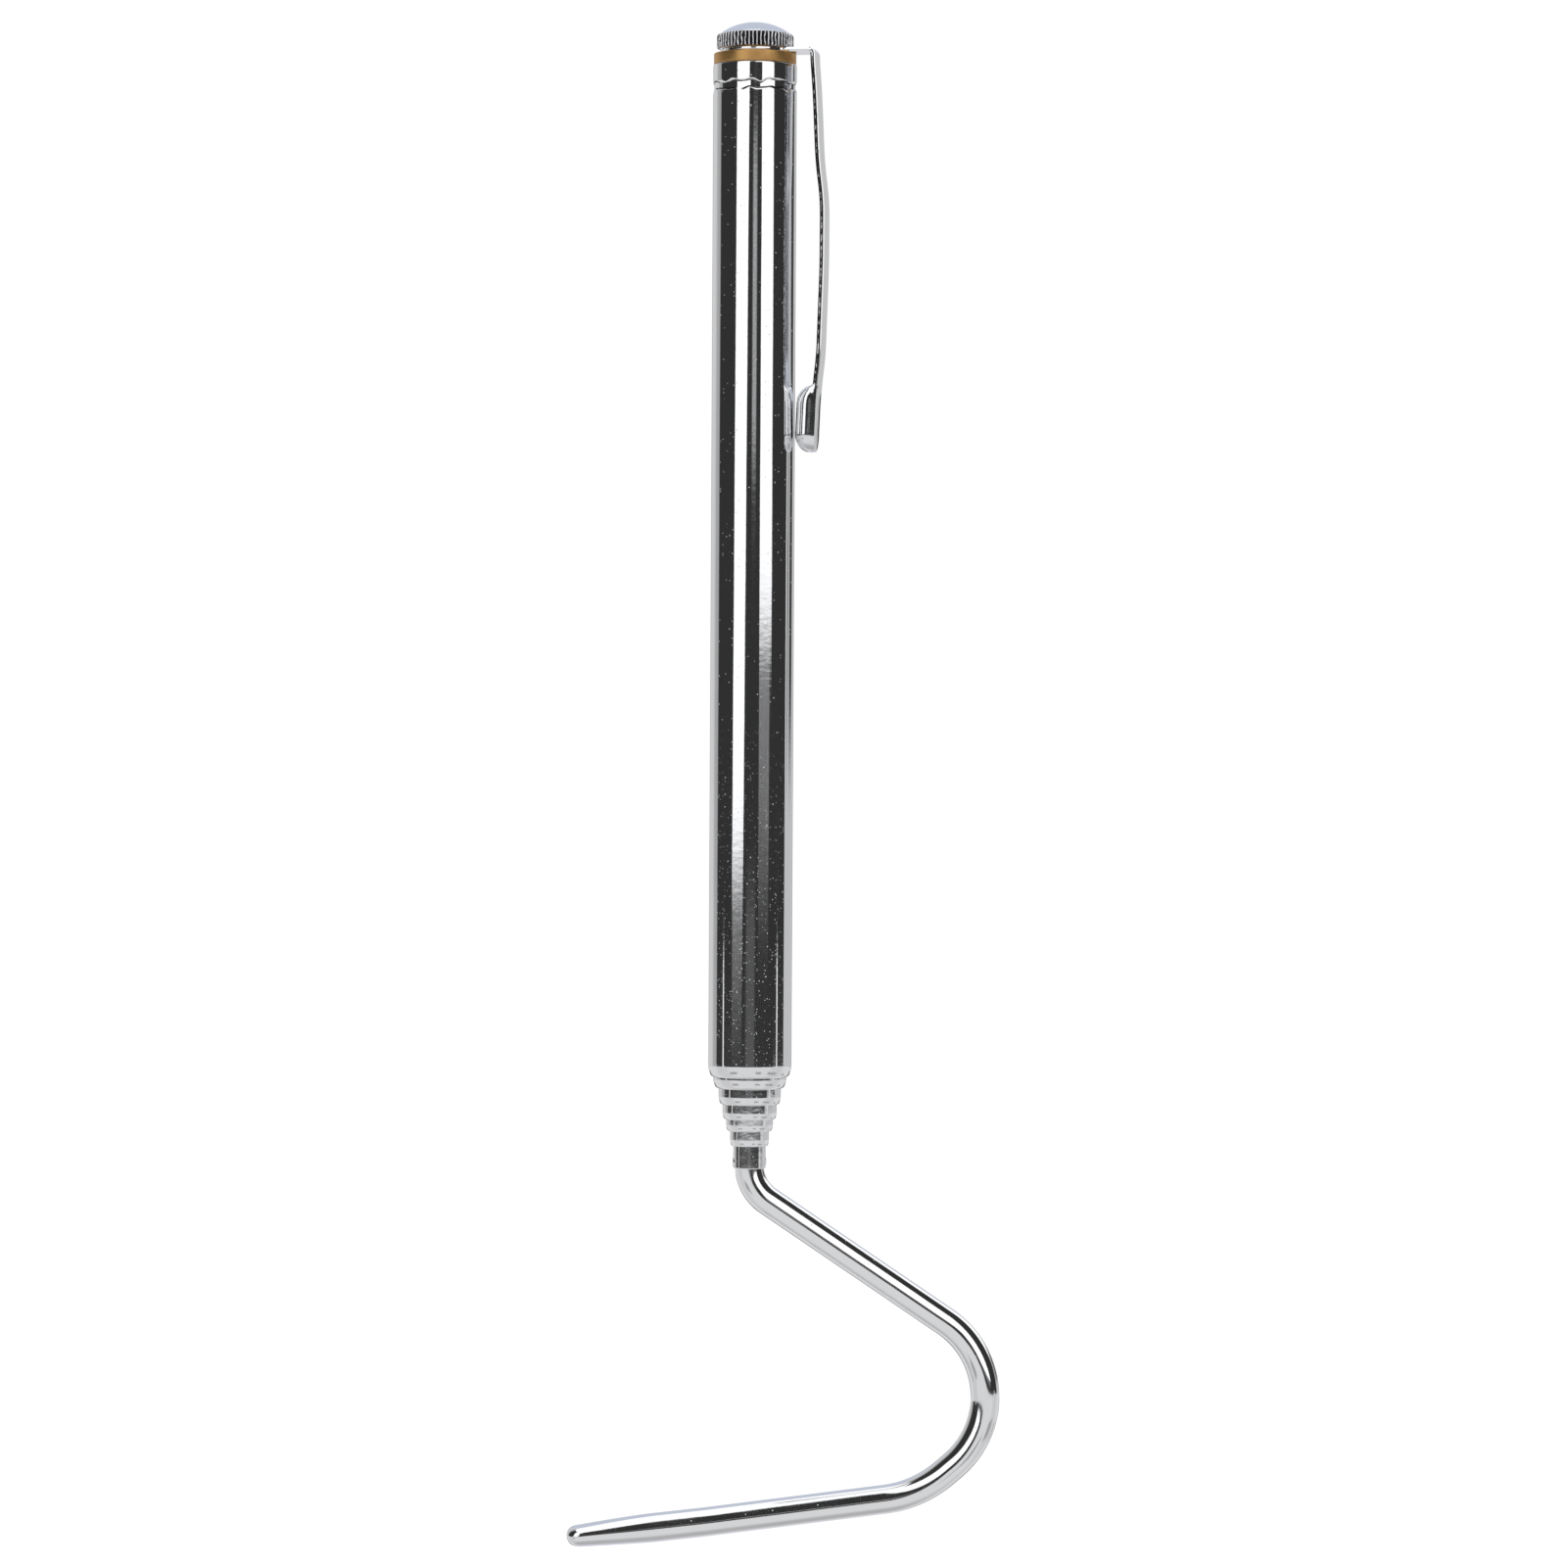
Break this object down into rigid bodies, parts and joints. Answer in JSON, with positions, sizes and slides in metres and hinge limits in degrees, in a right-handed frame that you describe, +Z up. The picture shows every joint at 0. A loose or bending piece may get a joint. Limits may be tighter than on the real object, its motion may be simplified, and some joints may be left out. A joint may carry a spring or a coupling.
{
  "type": "telescoping hook tool",
  "caption": "Pocket-size telescoping hook: chromed tube handle with pocket clip and knurled end cap, nested draw tubes that slide and turn, and an S-bent rod hook at the tip.",
  "frame": {"origin": "on the handle's axis, halfway up the handle tube, where a hand holds the tool", "axes": "+Z up the handle's axis towards the end cap; the hook hangs below in the XZ plane with its crook towards +X and its tip towards -X; the pocket clip is on the +X side"},
  "size_m": [0.0521, 0.01, 0.1837],
  "materials": {
    "chrome_tube": "bright chrome plate with fine drawing lines and light handling scratches",
    "chrome_bright": "mirror-bright plate on a turned and knurled cap",
    "clip_steel": "bright plated spring steel sheet with softly rounded edges",
    "rod_steel": "polished and plated steel rod with faint lengthwise grain",
    "plug_brass": "satin turned brass, a little darkened",
    "bush_brass": "turned brass",
    "spring_bronze": "rolled phosphor bronze strip"
  },
  "bodies": {
    "handle": {"handle_tube": "chrome_tube", "end_plug": "plug_brass", "clip_eyelet": "clip_steel"},
    "clip_arm": {"clip_arm": "clip_steel"},
    "cap_stud": {"cap_stud": "rod_steel"},
    "knurled_cap": {"knurled_cap": "chrome_bright"},
    "friction_spring_1": {"friction_spring_1": "spring_bronze"},
    "stage_1": {"stage_1_tube": "chrome_tube", "stage_1_stop_bush": "bush_brass"},
    "friction_spring_2": {"friction_spring_2": "spring_bronze"},
    "stage_2": {"stage_2_tube": "chrome_tube", "stage_2_stop_bush": "bush_brass"},
    "friction_spring_3": {"friction_spring_3": "spring_bronze"},
    "stage_3": {"stage_3_tube": "chrome_tube", "stage_3_stop_bush": "bush_brass"},
    "friction_spring_4": {"friction_spring_4": "spring_bronze"},
    "stage_4": {"stage_4_tube": "chrome_tube", "stage_4_stop_bush": "bush_brass"},
    "friction_spring_5": {"friction_spring_5": "spring_bronze"},
    "stage_5": {"stage_5_tube": "chrome_tube", "stage_5_stop_bush": "bush_brass"},
    "friction_spring_6": {"friction_spring_6": "spring_bronze"},
    "stage_6": {"stage_6_tube": "chrome_tube", "stage_6_stop_bush": "bush_brass", "hook_rod": "rod_steel"}
  },
  "joints": [
    {"name": "clip_flex", "type": "hinge", "parent": "handle", "child": "clip_arm", "pos_m": [0.00647, -0.00114, 0.06232], "axis": [-0.1736, -0.9848, 0], "range_deg": [0, 5], "stiffness_Nm_per_rad": 2, "springref_deg": -1.15},
    {"name": "cap_lift", "type": "slide", "parent": "handle", "child": "cap_stud", "axis": [0, 0, 1], "range_m": [0, 0.009]},
    {"name": "cap_turn", "type": "hinge", "parent": "cap_stud", "child": "knurled_cap", "pos_m": [0, 0, 0.063], "axis": [0, 0, 1], "range_deg": [0, 6480]},
    {"name": "stage_1_draw", "type": "slide", "parent": "handle", "child": "friction_spring_1", "axis": [0, 0, -1], "range_m": [0, 0.08]},
    {"name": "stage_1_turn", "type": "hinge", "parent": "friction_spring_1", "child": "stage_1", "pos_m": [0, 0, 0], "axis": [0, 0, 1], "continuous": true},
    {"name": "stage_2_draw", "type": "slide", "parent": "stage_1", "child": "friction_spring_2", "axis": [0, 0, -1], "range_m": [0, 0.08]},
    {"name": "stage_2_turn", "type": "hinge", "parent": "friction_spring_2", "child": "stage_2", "pos_m": [0, 0, 0], "axis": [0, 0, 1], "continuous": true},
    {"name": "stage_3_draw", "type": "slide", "parent": "stage_2", "child": "friction_spring_3", "axis": [0, 0, -1], "range_m": [0, 0.08]},
    {"name": "stage_3_turn", "type": "hinge", "parent": "friction_spring_3", "child": "stage_3", "pos_m": [0, 0, 0], "axis": [0, 0, 1], "continuous": true},
    {"name": "stage_4_draw", "type": "slide", "parent": "stage_3", "child": "friction_spring_4", "axis": [0, 0, -1], "range_m": [0, 0.08]},
    {"name": "stage_4_turn", "type": "hinge", "parent": "friction_spring_4", "child": "stage_4", "pos_m": [0, 0, 0], "axis": [0, 0, 1], "continuous": true},
    {"name": "stage_5_draw", "type": "slide", "parent": "stage_4", "child": "friction_spring_5", "axis": [0, 0, -1], "range_m": [0, 0.08]},
    {"name": "stage_5_turn", "type": "hinge", "parent": "friction_spring_5", "child": "stage_5", "pos_m": [0, 0, 0], "axis": [0, 0, 1], "continuous": true},
    {"name": "stage_6_draw", "type": "slide", "parent": "stage_5", "child": "friction_spring_6", "axis": [0, 0, -1], "range_m": [0, 0.08]},
    {"name": "stage_6_turn", "type": "hinge", "parent": "friction_spring_6", "child": "stage_6", "pos_m": [0, 0, 0], "axis": [0, 0, 1], "continuous": true}
  ],
  "couplings": [
    {"joint": "cap_turn", "follows": "cap_lift", "rad_per_m": 12566}
  ]
}
